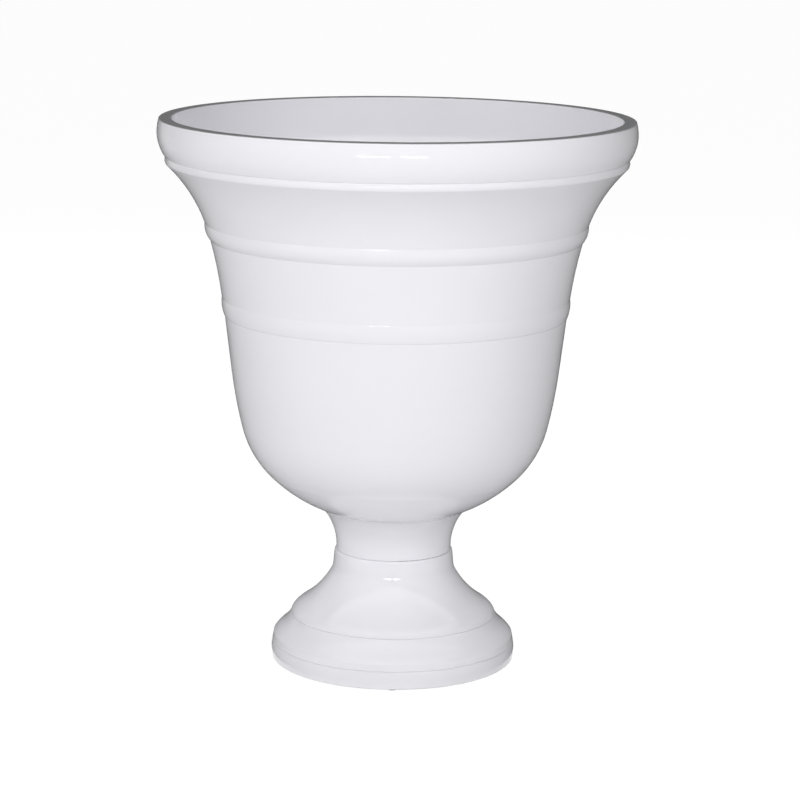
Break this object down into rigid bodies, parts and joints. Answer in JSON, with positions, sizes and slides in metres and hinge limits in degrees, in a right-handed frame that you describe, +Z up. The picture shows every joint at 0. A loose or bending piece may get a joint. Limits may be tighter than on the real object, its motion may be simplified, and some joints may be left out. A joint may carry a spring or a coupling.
{
  "type": "urn planter",
  "caption": "Gloss white urn planter: flared round bowl with a banded rim and short neck, which lifts off a hollow moulded foot; drain grid and plug inside.",
  "frame": {"origin": "on the ground, at the centre of the foot, on the urn's axis", "axes": "+Z up along the urn's axis; the urn is round, so +X and +Y are equal, with a gusset of the foot on +X"},
  "size_m": [0.405, 0.405, 0.4707],
  "materials": {
    "gloss_white": "high gloss, smooth moulded white",
    "grid_plastic": "fine matte black",
    "plug_rubber": "matte dark grey",
    "pad_rubber": "matte black"
  },
  "bodies": {
    "foot": {"pedestal": "gloss_white", "foot_pads": "pad_rubber"},
    "bowl": {"bowl": "gloss_white"},
    "grid": {"drainage_grid": "grid_plastic"},
    "plug": {"drain_plug": "plug_rubber"}
  },
  "joints": [
    {"name": "bowl_lift", "type": "slide", "parent": "foot", "child": "bowl", "axis": [0, 0, 1], "range_m": [0, 0.06]},
    {"name": "grid_lift", "type": "slide", "parent": "bowl", "child": "grid", "axis": [0, 0, 1], "range_m": [0, 0.34]},
    {"name": "plug_pull", "type": "slide", "parent": "bowl", "child": "plug", "axis": [0, 0, 1], "range_m": [0, 0.03]}
  ]
}
